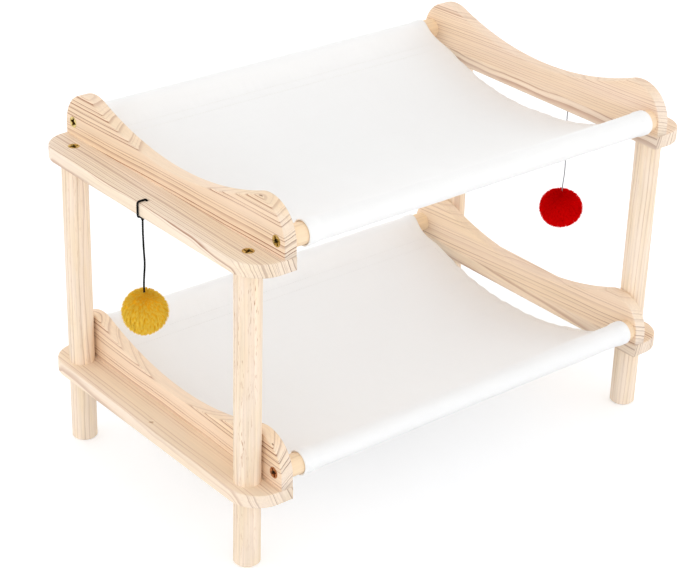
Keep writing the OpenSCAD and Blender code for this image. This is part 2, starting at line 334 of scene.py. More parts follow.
# How often the wood's patterns change: per mm twice across the grain and once along it
RING_BENDS = (0.010, 0.010, 0.0035)
RING_WAVERS = (0.06, 0.06, 0.014)
RING_FADES = (0.03, 0.03, 0.012)
STREAKS = (0.45, 0.45, 0.006)
FIBRES = (1.3, 1.3, 0.025)
PORE_ROWS = (0.16, 0.16, 0.004)
PORES = (1.7, 1.7, 0.11)
# How far the rings bend and waver, and how unevenly they follow each other
RING_BEND_MM = 6.0
RING_WAVER_MM = 1.2
RING_UNEVEN = 1.5
# Fine lines: how many to a ring and how strong they are beside it
FINE_LINES = 2.6
FINE_SHARE = 0.40
# The soft dark band before a ring's sharp line
BAND_SHARE = 0.20


def pine(
    name, grain, pith, lean_deg, ring_mm, contrast, seed, tone,
    crisp=1.0, streak=0.14, pores=0.1, broad_mm=30, upper_lines=1.0, knots=(),
):
    """Sanded pine cut from a log: rings about a pith line, wavy and uneven, with fibres and resin pores.

    pith is a point on the log's middle line and lean_deg tilts that line. crisp says how sharp the rings are
    and streak how far the streaks along the grain differ. broad_mm is the width of paler and deeper bands.
    upper_lines is how strong the rings show where the wood faces up. tone colours all but the end grain.
    knots are (place, radius in mm)."""
    wood = Finish(name, specular=0.25)
    place = wood.add("TexCoord", out=ON_OBJECT)
    turn = [math.radians(a + b) for a, b in zip(GRAIN_TURN_DEG[grain], lean_deg)]
    log = wood.add("Mapping", place, tuple(pith), tuple(turn), (MM, MM, MM), vector_type="TEXTURE")

    radius = wood.vector("LENGTH", wood.vector("MULTIPLY", log, (1, 1, 0)), out=1)
    bend = wood.spread(wood.noise(log, RING_BENDS, seed), -RING_BEND_MM, RING_BEND_MM)
    waver = wood.spread(wood.noise(log, RING_WAVERS, seed + 3), -RING_WAVER_MM, RING_WAVER_MM)
    rings = wood.math("DIVIDE", wood.math("ADD", radius, wood.math("ADD", bend, waver)), ring_mm)
    uneven = wood.add("TexNoise", None, wood.math("MULTIPLY", rings, 0.37), 1.0, 1.0, noise_dimensions="1D")
    rings = wood.math("ADD", rings, wood.spread(uneven, -RING_UNEVEN, RING_UNEVEN))

    def ring_lines(count, sharp_start, weakest):
        within = wood.math("FRACT", count)
        sharp = wood.math("POWER", wood.step(within, sharp_start, 0.92), 2.5)
        band = wood.math("MULTIPLY", wood.math("POWER", within, 2.0), BAND_SHARE)
        shape = wood.math("MAXIMUM", wood.math("MULTIPLY", sharp, crisp), band)
        shape = wood.math("MULTIPLY", shape, wood.step(within, 1.0, 0.95))
        own = wood.add("TexWhiteNoise", None, wood.math("FLOOR", count), noise_dimensions="1D")
        return wood.math("MULTIPLY", shape, wood.spread(own, weakest * contrast, contrast))

    fine = wood.math("MULTIPLY", ring_lines(wood.math("MULTIPLY", rings, FINE_LINES), 0.35, 0.0), FINE_SHARE)
    line = wood.math("MAXIMUM", ring_lines(rings, 0.55, 0.35), fine, clamp=True)
    fade = wood.noise(log, RING_FADES, seed + 23)
    line = wood.math("MULTIPLY", line, wood.step(fade, 0.25, 0.6, 0.55, 1.0))

    normal = wood.add("NewGeometry", out=1)
    end_grain = wood.math("ABSOLUTE", wood.vector("DOT_PRODUCT", normal, GRAIN_AXIS[grain], out=1))
    end_grain = wood.step(end_grain, 0.4, 0.95)
    line = wood.math("MULTIPLY", line, wood.spread(end_grain, 1.0, 1.25), clamp=True)
    upward = wood.math("ABSOLUTE", wood.vector("DOT_PRODUCT", normal, (0, 0, 1), out=1))
    line = wood.math("MULTIPLY", line, wood.step(upward, 0.35, 0.8, 1.0, upper_lines))

    streaks = wood.noise(log, STREAKS, seed + 5, 3.0, 0.6)
    fibres = wood.noise(log, FIBRES, seed + 7, 4.0, 0.65)
    pore_rows = wood.step(wood.noise(log, PORE_ROWS, seed + 13), 0.42, 0.62)
    dots = wood.step(wood.noise(log, PORES, seed + 11, 1.0), 0.60, 0.70)
    dots = wood.math("MULTIPLY", wood.math("MULTIPLY", dots, pore_rows), pores, clamp=True)
    broad = wood.noise(log, (1 / broad_mm, 1 / broad_mm, 0.15 / broad_mm), seed + 17)

    early = wood.mix(end_grain, EARLY_WOOD, END_EARLY)
    late = wood.mix(end_grain, LATE_WOOD, END_LATE)
    broad_tone = wood.mix(wood.step(broad, 0.3, 0.7), *BROAD_TONES)
    colour = wood.mix(1.0, wood.mix(line, early, late), broad_tone, "MULTIPLY")
    colour = wood.mix(dots, colour, PORE_WOOD)
    shade = wood.spread(streaks, 1 - streak, 1 + 0.8 * streak)
    colour = wood.shaded(colour, wood.math("MULTIPLY", shade, wood.spread(fibres, 0.91, 1.09)))
    for spot, spot_mm in knots:
        away = wood.vector("MULTIPLY", wood.vector("SUBTRACT", place, spot), GRAIN_STRETCH[grain])
        reach = wood.math("DIVIDE", wood.vector("LENGTH", away, out=1), spot_mm * MM)
        colour = wood.mix(wood.step(reach, 1.0, 0.4, 0.0, 0.8), colour, DARK_WOOD)
    colour = wood.mix(1.0, colour, wood.mix(end_grain, srgb(*tone), WHITE), "MULTIPLY")
    rough = wood.spread(line, 0.62, 0.5)
    height = wood.math("ADD", wood.math("MULTIPLY", line, 0.5), wood.math("SUBTRACT", fibres, dots))
    return wood.finish(colour, rough, height, bump_mm=0.10, bump_strength=0.4)


WEAVE_MM = 0.85


def canvas(name, tone):
    """Plain-woven cotton canvas: warp and weft threads on the cloth's own flat coordinates, with slubs.

    Light goes a little way into the cotton."""
    cloth = Finish(name, roughness=0.95, specular=0.0)
    cloth.shader.inputs["Subsurface Weight"].default_value = 1.0
    cloth.shader.inputs["Subsurface Radius"].default_value = (1, 1, 1)
    cloth.shader.inputs["Subsurface Scale"].default_value = 0.2 * MM
    flat_mm = cloth.vector("MULTIPLY", cloth.add("UVMap"), (1 / MM, 1 / MM, 0))
    flat_ways = [cloth.add("SeparateXYZ", flat_mm, out=axis) for axis in (0, 1)]
    threads = [cloth.math("SINE", cloth.math("MULTIPLY", way, math.pi / WEAVE_MM)) for way in flat_ways]
    weave = cloth.math("MULTIPLY", *threads)
    slub_along = cloth.noise(flat_mm, (0.9, 0.02, 0), 2.0, 2.0)
    slub_across = cloth.noise(flat_mm, (0.02, 0.9, 0), 5.0, 2.0)
    slubs = cloth.math("ADD", slub_along, slub_across)
    cloud = cloth.noise(flat_mm, (0.012, 0.012, 0), 9.0)
    shade = cloth.math("MULTIPLY", cloth.spread(slubs, 0.955, 1.0), cloth.spread(cloud, 0.985, 1.015))
    shade = cloth.math("MULTIPLY", shade, cloth.add("MapRange", weave, -1.0, 1.0, 0.985, 1.0))
    height = cloth.math("ADD", cloth.math("MULTIPLY", weave, 0.5), slubs)
    return cloth.finish(cloth.shaded(tone, shade), None, height, bump_mm=0.12, bump_strength=0.35)


# Near-black painted shade for the recesses, and how far the occlusion that sets it looks
RECESS_PAINTED_SHADE = srgb(38, 26, 16)
RECESS_PAINTED_SHADE_REACH = 2.0 * MM


def plated(name, colour, tarnish, roughness):
    """Plated or bare steel with fine turning marks and uneven tarnish, with painted shade in its recesses."""
    metal = Finish(name, metallic=1.0, specular=0.5)
    place = metal.place_mm()
    cloud = metal.noise(place, (0.45, 0.45, 0.45), 1.0, 3.0)
    grit = metal.noise(place, (3.5, 3.5, 3.5), 4.0, 2.0)
    tone = metal.mix(metal.step(cloud, 0.35, 0.7), colour, tarnish)
    # Painted shade: spots closed in by nearby metal are painted towards the near-black colour
    open_share = metal.add("AmbientOcclusion", None, RECESS_PAINTED_SHADE_REACH, out=1)
    tone = metal.mix(metal.step(open_share, 0.45, 0.95), RECESS_PAINTED_SHADE, tone)
    rough = metal.spread(grit, roughness - 0.08, roughness + 0.12)
    return metal.finish(tone, rough, grit, bump_mm=0.05, bump_strength=0.3)


def yarn(name, deep, bright, sheen=0.3):
    """Twisted or braided yarn with fine fibres along the cord."""
    thread = Finish(name, roughness=0.8, specular=0.15, sheen=sheen)
    fuzz = thread.noise(thread.place_mm(), (2.5, 2.5, 1.2), 1.0, 3.0)
    colour = thread.mix(thread.step(fuzz, 0.3, 0.7), deep, bright)
    return thread.finish(colour, None, fuzz, bump_mm=0.1, bump_strength=0.4)


def wool(name, root, half_way, tip):
    """Pom-pom wool with painted shade: each strand runs from a deep root to a pale tip, and has its own shade
    besides.
    """
    fluff = Finish(name, roughness=1.0, specular=0.0)
    shade = fluff.add("Attribute", attribute_name="shade", out=2)
    speckle = fluff.noise(fluff.place_mm(), (0.5, 0.5, 0.5), 2.0, 2.0)
    shade = fluff.math("ADD", shade, fluff.spread(speckle, -0.12, 0.12), clamp=True)
    # Painted shade: low shades, near the roots and on the core, take the deep root colour
    low = fluff.mix(fluff.step(shade, 0.0, 0.6), root, half_way)
    return fluff.finish(fluff.mix(fluff.step(shade, 0.55, 1.0), low, tip))


# Cords: each toy hangs from a loop that goes through the board's hole and over its edge

# Routes of the hanging cords in millimetres: steps along X and Y, and depth below the knot's centre
LEFT_ROUTE = [
    (0, 0, 8), (0, 0, 14), (0.1, -0.1, 20), (0.2, -0.2, 26), (0.4, -0.3, 32), (0.6, -0.5, 38),
    (0.8, -0.6, 44), (0.6, -0.5, 50), (0.3, -0.2, 56), (0, 0, 62), (-0.1, 0.1, 67), (0, 0, 72), (0, 0, 79),
    (0, 0, 86),
]
RIGHT_ROUTE = [
    (-0.2, 0.2, 6), (-0.5, 0.4, 14), (-0.8, 0.6, 22), (-0.8, 0.6, 30), (-0.6, 0.5, 38), (-0.3, 0.2, 46),
    (0, 0, 54), (0.3, -0.2, 62), (0.6, -0.4, 70), (0.8, -0.6, 78), (0.9, -0.7, 86), (0.7, -0.5, 94),
    (0.3, -0.2, 101), (0.1, 0, 107), (0, 0, 112), (0, 0, 118), (0, 0, 124),
]
CORD_MM = {"left": 2.0, "right": 1.2}
# Sizes as shares of the cord's diameter: spacing of a line's points, and the make-up of braid and twist
LINE_STEP = 0.12
BRAID_PITCH, BRAID_CORE_R, BRAID_REACH, BRAID_STRAND_R, BRAID_LIFT = 3.6, 0.30, 0.315, 0.145, 0.045
TWIST_PITCH, TWIST_REACH, TWIST_PLY_R = 3.2, 0.25, 0.26
# Sizes as shares of the knot's radius: the trefoil's ring, its swing in and out, its rise, and the cord in it
KNOT_RING, KNOT_SWING, KNOT_RISE, KNOT_CORD = 0.46, 0.22, 0.34, 0.62


def strand_line(line, reach, turns_per_m, phase, lift=0.0, lifts_per_m=0.0):
    """A strand that winds round a line at a distance, and may rise and fall as it passes the others."""
    across, up = side_ways(line)
    along = distances(line)[:, None]
    angle = math.tau * turns_per_m * along + phase
    away = reach + lift * np.cos(math.tau * lifts_per_m * along)
    return line + away * (np.cos(angle) * across + np.sin(angle) * up)


def braid(line, diameter):
    """Eight strands round a core, four each way, over one and under one."""
    each_way, pitch = 4, BRAID_PITCH * diameter
    parts = [tube(line, BRAID_CORE_R * diameter, 8)]
    for way in (1, -1):
        for k in range(each_way):
            strand = strand_line(
                line, BRAID_REACH * diameter, way / pitch, math.tau * k / each_way,
                way * BRAID_LIFT * diameter, each_way / pitch,
            )
            parts.append(tube(strand, BRAID_STRAND_R * diameter, 5))
    return parts


def twist(line, diameter):
    """Three plies twisted together."""
    plies, pitch, reach = 3, TWIST_PITCH * diameter, TWIST_REACH * diameter
    strands = [strand_line(line, reach, 1 / pitch, math.tau * k / plies) for k in range(plies)]
    return [tube(strand, TWIST_PLY_R * diameter, 6) for strand in strands]


def knot_line(centre, radius):
    """A closed overhand knot: a trefoil drawn tight."""
    turn = np.linspace(0, math.tau, 61)
    ring = radius * (KNOT_RING + KNOT_SWING * np.cos(3 * turn))
    height = radius * KNOT_RISE * np.sin(3 * turn)
    return centre + np.stack([ring * np.cos(2 * turn), ring * np.sin(2 * turn), height], axis=1)


def loop_corners(node, side, knot, cord):
    """The loop's route in its upright plane: from the knot, up the hole, over the board's edge and back."""
    low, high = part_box(node)
    inner, outer = sorted((side * low.x, side * high.x))
    reach = cord / 2
    bend = 1.1 * cord
    cut = 0.3 * bend
    left, right, bottom, top = inner + reach, outer - reach, low.z + reach, high.z - reach
    hold = side * knot[0]
    grip = 0.6 * cord
    half_up = (bottom + top) / 2
    flat = [
        (hold - grip, bottom), (left + bend, bottom), (left + cut, bottom + cut), (left, bottom + bend),
        (left, half_up), (left, top - bend), (left + cut, top - cut), (left + bend, top),
        ((left + right) / 2, top), (right - bend, top), (right - cut, top - cut), (right, top - bend),
        (right, half_up), (right, bottom + bend), (right - cut, bottom + cut), (right - bend, bottom),
        (hold + grip, bottom),
    ]
    return [(side * x, knot[1], z) for x, z in flat]


def make_cord(side_name, route, lay_strands, material):
    """The loop, the knot and the hanging cord of one toy; gives the hanging cord and its line."""
    cord = CORD_MM[side_name] * MM
    knot = middle(f"{side_name}_toy_knot")
    knot_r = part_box(f"{side_name}_toy_knot")[1].z - knot[2]
    pom = middle(f"{side_name}_pompom")
    step = LINE_STEP * cord

    loop = smooth_line(loop_corners(f"{side_name}_toy_loop", SIDES[side_name], knot, cord), step)
    loop_piece = mesh_piece(f"{side_name}_cord_loop", lay_strands(loop, cord), material, "frame")
    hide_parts(f"{side_name}_toy_loop")

    tied = lay_strands(knot_line(knot, knot_r), KNOT_CORD * knot_r)
    knot_piece = mesh_piece(f"{side_name}_cord_knot", tied, material, f"{side_name}_swivel")
    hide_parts(f"{side_name}_toy_knot")

    corners = [knot, *(knot + np.array((x, y, -depth)) * MM for x, y, depth in route), pom]
    line = smooth_line(corners, step)
    hanging = mesh_piece(f"{side_name}_cord", lay_strands(line, cord), material, f"{side_name}_toy")
    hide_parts(f"{side_name}_toy_string")
    return hanging, line


BLACK_YARN = yarn("black_braid", srgb(4, 4, 5), srgb(22, 22, 23), 0.0)
GREY_YARN = yarn("grey_twist", srgb(116, 117, 122), srgb(176, 177, 182))
left_cord, left_line = make_cord("left", LEFT_ROUTE, braid, BLACK_YARN)
right_cord, right_line = make_cord("right", RIGHT_ROUTE, twist, GREY_YARN)


# Pom-poms: tapered wool strands in tufts round a core, parted where the cord goes in

STRANDS = 9500
STRAND_SIDES = 3
# A strand's rings: how far out they are, as shares of its length, and how wide
STRAND_SHARES = (0.78, 0.88, 0.95, 1.0)
STRAND_TAPER = (0.9, 1.0, 0.85, 0.3)
# The shortest and the longest strand, in radii of the ball
STRAND_REACH = (0.94, 1.014)
# How far the directions of strands, of tufts and of tips in a tuft stray
STRAND_STRAY = 0.02
TUFT_STRAY = 0.05
TIP_STRAY = 0.025
# Angles round the cord, in radians: the bare spot, and the strands that crest changes
CORD_SPOT = math.radians(4)
CREST_REACH = 0.3
# Height of the ball's lumps, in radii, and how quickly they follow each other along X and Y
LUMP = 0.03
LUMP_TURNS = (3, 2.5)
# Where along a strand the painted shade starts to pale towards its tip, and how far one strand's own shade is
# from another's
PAINTED_SHADE_START = 0.80
OWN_SHADE = 0.14
# How much a strand's own roundness shows beside the ball's
STRAND_ROUND = 0.5
CORE_SHARE = 0.88
# The core is painted part way to the deep root colour, as painted shade beneath the strands
CORE_PAINTED_SHADE = 0.4
CORE_RINGS = 32


def even_directions(count):
    """Directions spread evenly over a sphere."""
    k = np.arange(count) + 0.5
    z = 1 - 2 * k / count
    turn = math.pi * (1 + math.sqrt(5)) * k
    across = np.sqrt(1 - z * z)
    return np.stack([across * np.cos(turn), across * np.sin(turn), z], axis=1)


def ball(radius, rings):
    """(points, faces) of a ball with its poles down and up."""
    sides = 2 * rings
    tilts = [math.pi * i / rings for i in range(1, rings)]
    points, faces = lathe([(radius * math.sin(tilt), -radius * math.cos(tilt)) for tilt in tilts], sides)
    count = len(points)
    points += [(0, 0, -radius), (0, 0, radius)]
    faces += fan_faces(range(sides)[::-1], count) + fan_faces(range(count - sides, count), count + 1)
    return np.array(points), faces


def strand_ends(draw, tufts, gather, comb):
    """Directions of the strands' roots and tips."""
    tip = unit(even_directions(STRANDS) + draw.normal(0, STRAND_STRAY, (STRANDS, 3)))
    tip = tip[tip[:, 2] < math.cos(CORD_SPOT)]
    root = unit(tip + (0, 0, comb))
    heads = unit(even_directions(tufts) + draw.normal(0, TUFT_STRAY, (tufts, 3)))
    nearest = heads[np.argmax(tip @ heads.T, axis=1)]
    return root, unit(tip + gather * (nearest - tip) + draw.normal(0, TIP_STRAY, tip.shape))


def pompom(side_name, material, tufts, gather, comb, strand_mm, crest, widen, seed):
    """A wool ball. gather pulls the strands' tips into tufts and comb lays them downwards.

    crest lengthens the strands round the cord, or shortens them where it is below 0.
    widen makes the ball broader."""
    centre = middle(f"{side_name}_pompom")
    low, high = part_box(f"{side_name}_pompom")
    radius = (high.z - low.z) / 2
    stretch = (widen, widen, 1)
    draw = np.random.default_rng(seed)

    root, tip = strand_ends(draw, tufts, gather, comb)
    count = len(root)
    turn_x, turn_y = LUMP_TURNS
    lumps = 1 + LUMP * np.sin(turn_x * tip[:, :1] + seed) * np.cos(turn_y * tip[:, 1:2] - seed)
    from_cord = np.arccos(np.clip(tip[:, 2:], -1, 1))
    round_cord = 1 + crest * np.exp(-((from_cord / CREST_REACH) ** 2))
    length = radius * lumps * round_cord * draw.uniform(*STRAND_REACH, (count, 1))

    across = unit(np.cross(root, draw.normal(0, 1, root.shape)))
    up = np.cross(root, across)
    turn = np.arange(STRAND_SIDES) * math.tau / STRAND_SIDES
    ring = np.cos(turn)[:, None, None] * across + np.sin(turn)[:, None, None] * up
    own_shade = draw.uniform(-OWN_SHADE, OWN_SHADE, count)
    points, shades, normals = [], [], []
    for share, taper in zip(STRAND_SHARES, STRAND_TAPER):
        way = unit(root + (tip - root) * (share - STRAND_SHARES[0]) / (1 - STRAND_SHARES[0]))
        points.append(way * share * length * stretch + taper * strand_mm * MM / 2 * ring)
        normals.append(unit(way + STRAND_ROUND * ring))
        # Painted shade: deepest at the strand's root, paling to its tip
        shade = np.clip((share - PAINTED_SHADE_START) / (1 - PAINTED_SHADE_START) + own_shade, 0, 1)
        shades.append(np.tile(shade, STRAND_SIDES))

    faces = repeat_faces(tube_faces(len(STRAND_SHARES), STRAND_SIDES), count)
    core_points, core_faces = ball(CORE_SHARE * radius, CORE_RINGS)
    core_points = core_points * stretch
    parts = [(np.reshape(points, (-1, 3)) + centre, faces), (core_points + centre, core_faces)]
    all_shades = np.concatenate([*shades, np.full(len(core_points), CORE_PAINTED_SHADE)])
    piece = mesh_piece(f"{side_name}_wool_ball", parts, material, f"{side_name}_toy", all_shades)
    soft = np.concatenate([np.reshape(normals, (-1, 3)), unit(core_points)])
    piece.data.normals_split_custom_set_from_vertices(soft.tolist())
    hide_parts(f"{side_name}_pompom")
    return piece


# Colours at a strand's root, half way and tip: the deeper roots are painted shade between the tufts
OCHRE_WOOL = wool("ochre_wool", srgb(255, 158, 10), srgb(255, 194, 44), srgb(255, 212, 82))
RED_WOOL = wool("red_wool", srgb(172, 0, 2), srgb(222, 1, 3), srgb(234, 6, 8))
left_ball = pompom(
    "left", OCHRE_WOOL,
    tufts=520, gather=0.6, comb=0.4, strand_mm=0.56, crest=-0.04, widen=1.03, seed=1,
)
right_ball = pompom(
    "right", RED_WOOL,
    tufts=700, gather=0.5, comb=0.3, strand_mm=0.54, crest=0.06, widen=1.09, seed=2,
)

for cord_piece, line, ball_piece, side_name in (
    (left_cord, left_line, left_ball, "left"),
    (right_cord, right_line, right_ball, "right"),
):
    tuple(line[0])
    float(distances(line)[-1])


# Wooden pieces: boards and panels with eased edges and drilled holes, each cut from its own log

EASE = 1.2 * MM
EASE_STEPS = 4
BOARD_CORNER = 31 * MM
LOBE_R = 35 * MM
LOBE_RISE = 10.5 * MM
DIP_H = 20.5 * MM
CORNER_POINTS = 20
LOBE_POINTS = 36
DIP_POINTS = 60
# Screw holes at their rim and at their foot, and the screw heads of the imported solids
HEAD_R = 5.7 * MM
SHANK_R = 2.6 * MM
PACKED_HEAD_R = 5 * MM
# Cord holes, and the width of their chamfer
CORD_HOLE_R = 2 * MM
RIM = 0.7 * MM
HOLE_SIDES = 32


def arc(centre, radius, start_deg, end_deg, count):
    turn = np.radians(np.linspace(start_deg, end_deg, count))
    return [(centre[0] + radius * math.cos(a), centre[1] + radius * math.sin(a)) for a in turn]


def board_outline(half_l, inner, outer):
    """A board seen from above, with X away from the middle: square inner corners and round outer ones."""
    across, along = outer - BOARD_CORNER, half_l - BOARD_CORNER
    front = arc((across, -along), BOARD_CORNER, -90, 0, CORNER_POINTS)
    back = arc((across, along), BOARD_CORNER, 0, 90, CORNER_POINTS)
    return np.array([(inner, -half_l), *front, *back, (inner, half_l)])


def panel_outline(half_l):
    """A panel seen from its side: a round lobe at each end and a tangent dip between them."""
    lobe_y = half_l - LOBE_R
    step = DIP_H - LOBE_RISE
    dip_r = (lobe_y**2 + step**2 - LOBE_R**2) / (2 * (LOBE_R - step))
    dip_z = DIP_H + dip_r
    touch_deg = math.degrees(math.atan2(dip_z - LOBE_RISE, lobe_y))
    back = arc((lobe_y, LOBE_RISE), LOBE_R, 0, 180 - touch_deg, LOBE_POINTS)
    dip = arc((0, dip_z), dip_r, -touch_deg, touch_deg - 180, DIP_POINTS)[1:-1]
    front = arc((-lobe_y, LOBE_RISE), LOBE_R, touch_deg, 180, LOBE_POINTS)
    return np.array([(-half_l, 0), (half_l, 0), *back, *dip, *front])


def slab(outline, thickness, square_axis, square_at, low_holes=(), high_holes=(), through_holes=()):
    """Points and faces of a flat piece over an outline, with eased edges, and where its flat faces start.

    The straight edge where the outline's square_axis is square_at stays square, as it meets another piece.
    Countersunk holes at the low and the high face are (u, v), and so are the cord holes right through."""
    ahead = unit(np.roll(outline, -1, axis=0) - outline)
    inward = np.stack([-ahead[:, 1], ahead[:, 0]], axis=1)
    last_inward = np.roll(inward, 1, axis=0)
    inward = (inward + last_inward) / (1 + np.sum(inward * last_inward, axis=1, keepdims=True))
    inward[np.isclose(outline[:, square_axis], square_at), square_axis] = 0
    turn = np.linspace(0, math.pi / 2, EASE_STEPS + 1)
    ease = [(EASE * (1 - math.sin(a)), EASE * (1 - math.cos(a))) for a in turn]
    rings = ease + [(inset, thickness - height) for inset, height in reversed(ease)]
    points = []

    def add_ring(flat, height):
        points.extend((u, v, height) for u, v in flat)
        return list(range(len(points) - len(flat), len(points)))

    def hole_ring(place, radius, height):
        return add_ring(arc(place, radius, 0, 360 - 360 / HOLE_SIDES, HOLE_SIDES), height)

    edges = [add_ring(outline + inset * inward, height) for inset, height in rings]
    faces = join_rings(*edges)
    caps = {0.0: [edges[0]], thickness: [edges[-1]]}
    for cap, places, way in ((0.0, low_holes, 1), (thickness, high_holes, -1)):
        for place in places:
            rim = hole_ring(place, HEAD_R, cap)
            foot = hole_ring(place, SHANK_R, cap + way * (HEAD_R - SHANK_R))
            faces += [*join_rings(rim, foot), tuple(foot)]
            caps[cap].append(rim)
    wide = CORD_HOLE_R + RIM
    for place in through_holes:
        levels = [(wide, 0.0), (CORD_HOLE_R, RIM), (CORD_HOLE_R, thickness - RIM), (wide, thickness)]
        wall = [hole_ring(place, radius, height) for radius, height in levels]
        faces += join_rings(*wall)
        caps[0.0].append(wall[0])
        caps[thickness].append(wall[-1])
    flat_start = len(faces)
    for loops in caps.values():
        faces += fill_faces(points, *loops)
    return np.array(points), faces, flat_start


def make_slab(node, shape, to_frame, material):
    """A wooden piece from a slab's points, moved to its place in the frame."""
    points, faces, flat_start = shape
    piece = mesh_piece(f"{node}_wood", [(to_frame(points), faces)], material, "frame")
    turn_faces_out(piece.data)
    for face in piece.data.polygons[flat_start:]:
        face.use_smooth = False
    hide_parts(node)


def panel_screw_y(tier):
    """How far from the middle the screws go up into a panel."""
    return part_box(f"{tier}_panel_screws")[1].y - PACKED_HEAD_R


def make_board(tier, side_name, material):
    node = f"{tier}_board_{side_name}"
    side = SIDES[side_name]
    low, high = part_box(node)
    inner, outer = sorted((side * low.x, side * high.x))
    panel_x = side * middle(f"{tier}_panel_{side_name}")[0]
    leg = middle(f"{tier}_leg_back_{side_name}")
    loop_low, loop_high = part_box(f"{side_name}_toy_loop")
    hole_x = min(side * loop_low.x, side * loop_high.x) + CORD_MM[side_name] * MM / 2
    hole = (hole_x, (loop_low.y + loop_high.y) / 2)
    panel_screws = [(panel_x, end * panel_screw_y(tier)) for end in ENDS.values()]
    leg_screws = [(side * leg[0], end * leg[1]) for end in ENDS.values()] if tier == "upper" else []
    outline = board_outline(high.y, inner, outer)
    shape = slab(outline, high.z - low.z, 0, inner, panel_screws, leg_screws, [hole])
    make_slab(node, shape, lambda p: p * (side, 1, 1) + (0, 0, low.z), material)


def make_panel(tier, side_name, material):
    node = f"{tier}_panel_{side_name}"
    side = SIDES[side_name]
    low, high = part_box(node)
    inner = min(side * low.x, side * high.x)
    rod = middle(f"{tier}_rod_back")
    screws = [(end * rod[1], rod[2] - low.z) for end in ENDS.values()]

    def to_frame(points):
        return np.stack([side * (inner + points[:, 2]), points[:, 0], low.z + points[:, 1]], axis=1)

    make_slab(node, slab(panel_outline(high.y), high.x - low.x, 1, 0, (), screws), to_frame, material)


def dress(name, material):
    """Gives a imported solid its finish."""
    for holder in nodes[name].material_slots:
        holder.material = material


def beside(node, offset_mm):
    """A point off a node's middle, for a log's pith."""
    return tuple(middle(node) + np.array(offset_mm) * MM)


# How each board and panel was cut:
# (pith off its middle in mm, lean in degrees, ring spacing in mm, contrast, tone)
CUTS = {
    "upper_board_left": ((132, 0, 38), (0.3, 0, -0.7), 2.7, 0.90, (255, 255, 255)),
    "upper_board_right": ((-126, 0, 44), (0.2, 0, 0.6), 3.0, 0.70, (253, 248, 244)),
    "lower_board_left": ((121, 0, 47), (0.4, 0, -0.9), 6.2, 0.66, (255, 253, 251)),
    "lower_board_right": ((-139, 0, 36), (0.3, 0, 0.8), 3.8, 0.70, (253, 248, 242)),
    "upper_panel_left": ((20, 0, -97), (-1.3, 0, 0.4), 4.6, 1.7, (250, 243, 236)),
    "upper_panel_right": ((-24, 0, -88), (-1.8, 0, -0.5), 2.9, 0.70, (247, 239, 234)),
    "lower_panel_left": ((50, 0, -88), (0.4, 0, 0.5), 4.6, 1.45, (255, 248, 240)),
    "lower_panel_right": ((-30, 0, -104), (-3.6, 0, -0.4), 5.4, 0.75, (249, 242, 235)),
}
# How strong the rings show where a board or a panel faces up
UPPER_LINES = {"board": 1.0, "panel": 0.4}
# Small dark spots: (place, radius in mm)
SPOTS = {
    "upper_panel_left": [((-0.227, -0.1325, 0.3575), 1.4)],
    "lower_panel_left": [((-0.227, -0.1530, 0.1260), 1.2)],
}
MAKERS = {"board": make_board, "panel": make_panel}
FIRST_CUT_SEED = 4
CUT_SEED_STEP = 9

for order, (node, (pith, lean, ring_mm, contrast, tone)) in enumerate(CUTS.items()):
    tier, kind, side_name = node.split("_")
    seed = FIRST_CUT_SEED + CUT_SEED_STEP * order
    cut = pine(
        node, "Y", beside(node, pith), lean, ring_mm, contrast, seed, tone,
        upper_lines=UPPER_LINES[kind], knots=SPOTS.get(node, ()),
    )
    MAKERS[kind](tier, side_name, cut)

# The legs' pores, how dark they show, and the seeds of their grain
LEG_PORES = {"upper_leg_front_left": 0.9, "lower_leg_front_left": 0.5, "upper_leg_back_left": 0.3}
OTHER_LEG_PORES = 0.15
LEG_SEEDS = {"front_left": 103, "front_right": 116, "back_left": 114, "back_right": 127}
ROD_SEEDS = {"front": 89, "back": 91}


def dress_leg(tier, end_name, side_name):
    leg = f"{tier}_leg_{end_name}_{side_name}"
    side, end = SIDES[side_name], ENDS[end_name]
    dress(leg, pine(
        leg, "Z", beside(leg, (16 * side, 30 * end, 0)), (0.5, 0.7 * side, 0), 4.6, 0.85,
        LEG_SEEDS[f"{end_name}_{side_name}"], (255, 254, 253), crisp=0.5, streak=0.28,
        pores=LEG_PORES.get(leg, OTHER_LEG_PORES), broad_mm=7,
    ))


def dress_rod(tier, end_name):
    rod = f"{tier}_rod_{end_name}"
    pith = beside(rod, (0, 30, 15 * ENDS[end_name]))
    seed = ROD_SEEDS[end_name]
    dress(rod, pine(rod, "X", pith, (0, 0.4, 0.4), 3.5, 0.55, seed, (255, 247, 232), crisp=0.4))


for tier in TIERS:
    for end_name in ENDS:
        for side_name in SIDES:
            dress_leg(tier, end_name, side_name)
        dress_rod(tier, end_name)


# Screws and studs: countersunk heads with a tapered cross recess

SCREW_R = 5.6 * MM
SCREW_SHANK_R = 2.5 * MM
SCREW_TIP_L = 6 * MM
SCREW_SIDES = 40
HEAD_EDGE = 0.25 * MM
ROD_SCREW_L = 45 * MM
LEG_SCREW_L = 45 * MM
PANEL_SCREW_L = 35 * MM
# An arm's length and half width, the corner between two arms, and the height, at the top and at the bottom
RECESS_TOP = (4.2 * MM, 1.0 * MM, 1.5 * MM, 0.0)
RECESS_LOW = (3.4 * MM, 0.7 * MM, 1.05 * MM, -2.4 * MM)
# Angles in radians: the first screw's recess, the next one's turn from it, and what counts as a sharp edge
FIRST_SPIN = 0.5
SPIN_STEP = 2.4
SHARP_EDGE = math.radians(35)


def cross_ring(arm_l, arm_w, inner, height):
    quarter = [(arm_l, arm_w), (inner, inner), (arm_w, arm_l)]
    turns = ((1, 0), (0, 1), (-1, 0), (0, -1))
    return [(c * x - d * y, d * x + c * y, height) for c, d in turns for x, y in quarter]


